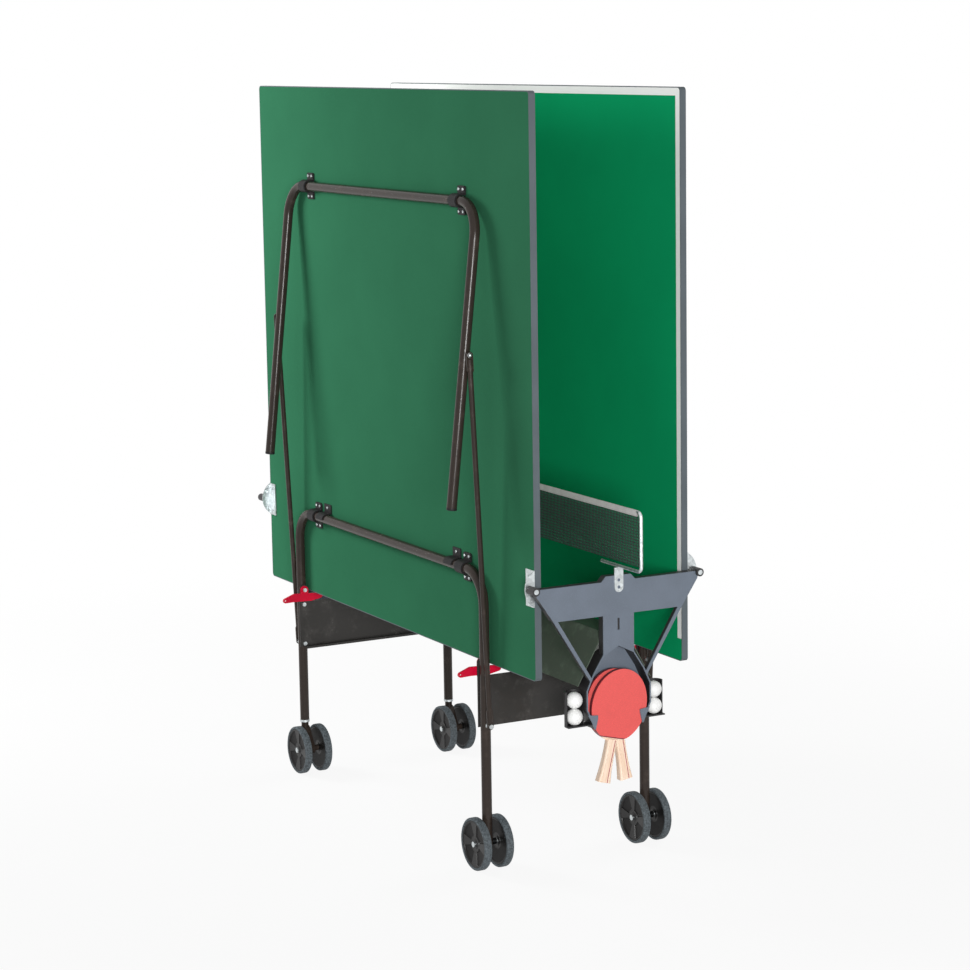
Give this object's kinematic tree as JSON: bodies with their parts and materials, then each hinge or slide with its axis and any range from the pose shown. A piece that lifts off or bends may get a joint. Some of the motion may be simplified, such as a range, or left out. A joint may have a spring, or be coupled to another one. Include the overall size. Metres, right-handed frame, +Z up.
{
  "type": "folding ping pong table",
  "caption": "Folding table tennis table on a wheeled trolley, shown stored upright, with hinged halves, swing-out legs, braces, a net and holders for bats and balls.",
  "frame": {"origin": "on the floor, midway between the two folded halves and midway along the net", "axes": "+Z up, +Y along the net towards the end that holds the bats, +X across the folded halves towards half a"},
  "size_m": [0.6374, 1.796, 1.8753],
  "materials": {
    "board": "matt paint",
    "edge_band": "satin",
    "zinc": "zinc plated",
    "end_face": "satin",
    "black_plastic": "matt",
    "black_steel": "satin powder coat",
    "lever": "satin",
    "wheel": "matt",
    "net": "woven",
    "tape": "woven",
    "bat_rubber": "dimpled",
    "bat_wood": "bare",
    "ball": "satin"
  },
  "bodies": {
    "trolley": {"centre_beam": "black_steel", "end_face_left": "end_face", "end_face_right": "end_face", "end_frame_left": "black_plastic", "end_frame_right": "black_plastic", "leg_collars": "zinc", "net_brackets": "zinc", "net_mesh": "net", "net_post_left": "zinc", "net_post_right": "zinc", "net_tape": "tape", "side_plate_left": "black_steel", "side_plate_right": "black_steel", "trolley_bolts": "zinc", "wheel_axles": "zinc", "wheel_leg_a": "black_steel", "wheel_leg_b": "black_steel"},
    "half_a": {"board_a": "board", "edge_band_a": "edge_band", "hinge_brackets_a": "zinc", "clamps_a": "black_steel", "stop_tabs_a": "black_steel"},
    "outer_leg_a": {"outer_leg_a": "black_steel", "feet_a": "black_plastic"},
    "brace_a_right": {"brace_a_right": "black_steel"},
    "lever_a_right": {"lever_a_right": "lever"},
    "brace_a_left": {"brace_a_left": "black_steel"},
    "lever_a_left": {"lever_a_left": "lever"},
    "caster_a": {"caster_a": "black_steel"},
    "wheel_a_right_outer": {"wheel_a_right_outer": "wheel"},
    "wheel_a_right_inner": {"wheel_a_right_inner": "wheel"},
    "wheel_a_left_outer": {"wheel_a_left_outer": "wheel"},
    "wheel_a_left_inner": {"wheel_a_left_inner": "wheel"},
    "half_b": {"board_b": "board", "edge_band_b": "edge_band", "hinge_brackets_b": "zinc", "clamps_b": "black_steel", "stop_tabs_b": "black_steel"},
    "outer_leg_b": {"outer_leg_b": "black_steel", "feet_b": "black_plastic"},
    "brace_b_right": {"brace_b_right": "black_steel"},
    "lever_b_right": {"lever_b_right": "lever"},
    "brace_b_left": {"brace_b_left": "black_steel"},
    "lever_b_left": {"lever_b_left": "lever"},
    "caster_b": {"caster_b": "black_steel"},
    "wheel_b_right_outer": {"wheel_b_right_outer": "wheel"},
    "wheel_b_right_inner": {"wheel_b_right_inner": "wheel"},
    "wheel_b_left_outer": {"wheel_b_left_outer": "wheel"},
    "wheel_b_left_inner": {"wheel_b_left_inner": "wheel"},
    "bat_1": {"bat_1_blade": "bat_wood", "bat_1_rubber_front": "bat_rubber", "bat_1_rubber_back": "bat_rubber"},
    "bat_2": {"bat_2_blade": "bat_wood", "bat_2_rubber_front": "bat_rubber", "bat_2_rubber_back": "bat_rubber"},
    "ball_a_low": {"ball_a_low": "ball"},
    "ball_a_high": {"ball_a_high": "ball"},
    "ball_b_low": {"ball_b_low": "ball"},
    "ball_b_high": {"ball_b_high": "ball"}
  },
  "joints": [
    {"name": "fold_a", "type": "hinge", "parent": "trolley", "child": "half_a", "pos_m": [0.22366, 0, 0.729], "axis": [0, 1, 0], "range_deg": [0, 90]},
    {"name": "leg_turn_a", "type": "hinge", "parent": "half_a", "child": "outer_leg_a", "pos_m": [0.22366, 0, 1.615], "axis": [0, 1, 0], "range_deg": [-86.29, 0]},
    {"name": "brace_turn_a_right", "type": "hinge", "parent": "trolley", "child": "brace_a_right", "pos_m": [0.22366, 0.559, 0.359], "axis": [0, 1, 0], "range_deg": [0, 86.78]},
    {"name": "lever_press_a_right", "type": "hinge", "parent": "trolley", "child": "lever_a_right", "pos_m": [0.22366, 0.5169, 0.51], "axis": [0, -1, 0], "range_deg": [0, 20]},
    {"name": "brace_turn_a_left", "type": "hinge", "parent": "trolley", "child": "brace_a_left", "pos_m": [0.22366, -0.559, 0.359], "axis": [0, 1, 0], "range_deg": [0, 86.78]},
    {"name": "lever_press_a_left", "type": "hinge", "parent": "trolley", "child": "lever_a_left", "pos_m": [0.22366, -0.5169, 0.51], "axis": [0, -1, 0], "range_deg": [0, 20]},
    {"name": "caster_swivel_a", "type": "hinge", "parent": "trolley", "child": "caster_a", "pos_m": [0.22366, -0.535, 0.142], "axis": [0, 0, 1], "continuous": true},
    {"name": "roll_a_right_outer", "type": "hinge", "parent": "trolley", "child": "wheel_a_right_outer", "pos_m": [0.25366, 0.535, 0.065], "axis": [1, 0, 0], "continuous": true},
    {"name": "roll_a_right_inner", "type": "hinge", "parent": "trolley", "child": "wheel_a_right_inner", "pos_m": [0.19366, 0.535, 0.065], "axis": [1, 0, 0], "continuous": true},
    {"name": "roll_a_left_outer", "type": "hinge", "parent": "caster_a", "child": "wheel_a_left_outer", "pos_m": [0.25366, -0.507, 0.065], "axis": [1, 0, 0], "continuous": true},
    {"name": "roll_a_left_inner", "type": "hinge", "parent": "caster_a", "child": "wheel_a_left_inner", "pos_m": [0.19366, -0.507, 0.065], "axis": [1, 0, 0], "continuous": true},
    {"name": "fold_b", "type": "hinge", "parent": "trolley", "child": "half_b", "pos_m": [-0.22366, 0, 0.729], "axis": [0, -1, 0], "range_deg": [0, 90]},
    {"name": "leg_turn_b", "type": "hinge", "parent": "half_b", "child": "outer_leg_b", "pos_m": [-0.22366, 0, 1.615], "axis": [0, -1, 0], "range_deg": [-86.29, 0]},
    {"name": "brace_turn_b_right", "type": "hinge", "parent": "trolley", "child": "brace_b_right", "pos_m": [-0.22366, 0.559, 0.359], "axis": [0, -1, 0], "range_deg": [0, 86.78]},
    {"name": "lever_press_b_right", "type": "hinge", "parent": "trolley", "child": "lever_b_right", "pos_m": [-0.22366, 0.5169, 0.51], "axis": [0, 1, 0], "range_deg": [0, 20]},
    {"name": "brace_turn_b_left", "type": "hinge", "parent": "trolley", "child": "brace_b_left", "pos_m": [-0.22366, -0.559, 0.359], "axis": [0, -1, 0], "range_deg": [0, 86.78]},
    {"name": "lever_press_b_left", "type": "hinge", "parent": "trolley", "child": "lever_b_left", "pos_m": [-0.22366, -0.5169, 0.51], "axis": [0, 1, 0], "range_deg": [0, 20]},
    {"name": "caster_swivel_b", "type": "hinge", "parent": "trolley", "child": "caster_b", "pos_m": [-0.22366, -0.535, 0.142], "axis": [0, 0, 1], "continuous": true},
    {"name": "roll_b_right_outer", "type": "hinge", "parent": "trolley", "child": "wheel_b_right_outer", "pos_m": [-0.25366, 0.535, 0.065], "axis": [1, 0, 0], "continuous": true},
    {"name": "roll_b_right_inner", "type": "hinge", "parent": "trolley", "child": "wheel_b_right_inner", "pos_m": [-0.19366, 0.535, 0.065], "axis": [1, 0, 0], "continuous": true},
    {"name": "roll_b_left_outer", "type": "hinge", "parent": "caster_b", "child": "wheel_b_left_outer", "pos_m": [-0.25366, -0.507, 0.065], "axis": [1, 0, 0], "continuous": true},
    {"name": "roll_b_left_inner", "type": "hinge", "parent": "caster_b", "child": "wheel_b_left_inner", "pos_m": [-0.19366, -0.507, 0.065], "axis": [1, 0, 0], "continuous": true},
    {"name": "bat_lift_1", "type": "slide", "parent": "trolley", "child": "bat_1", "axis": [0, 0, 1], "range_m": [0, 0.02]},
    {"name": "bat_lift_2", "type": "slide", "parent": "trolley", "child": "bat_2", "axis": [0, 0, 1], "range_m": [0, 0.02]},
    {"name": "ball_out_a_low", "type": "slide", "parent": "trolley", "child": "ball_a_low", "axis": [0, 1, 0], "range_m": [0, 0.06]},
    {"name": "ball_out_a_high", "type": "slide", "parent": "trolley", "child": "ball_a_high", "axis": [0, 1, 0], "range_m": [0, 0.06]},
    {"name": "ball_out_b_low", "type": "slide", "parent": "trolley", "child": "ball_b_low", "axis": [0, 1, 0], "range_m": [0, 0.06]},
    {"name": "ball_out_b_high", "type": "slide", "parent": "trolley", "child": "ball_b_high", "axis": [0, 1, 0], "range_m": [0, 0.06]}
  ],
  "couplings": [
    {"joint": "leg_turn_a", "follows": "fold_a", "ratio": -0.9565},
    {"joint": "brace_turn_a_right", "follows": "fold_a", "ratio": 0.96204},
    {"joint": "brace_turn_a_left", "follows": "fold_a", "ratio": 0.96204},
    {"joint": "leg_turn_b", "follows": "fold_b", "ratio": -0.9565},
    {"joint": "brace_turn_b_right", "follows": "fold_b", "ratio": 0.96204},
    {"joint": "brace_turn_b_left", "follows": "fold_b", "ratio": 0.96204}
  ]
}
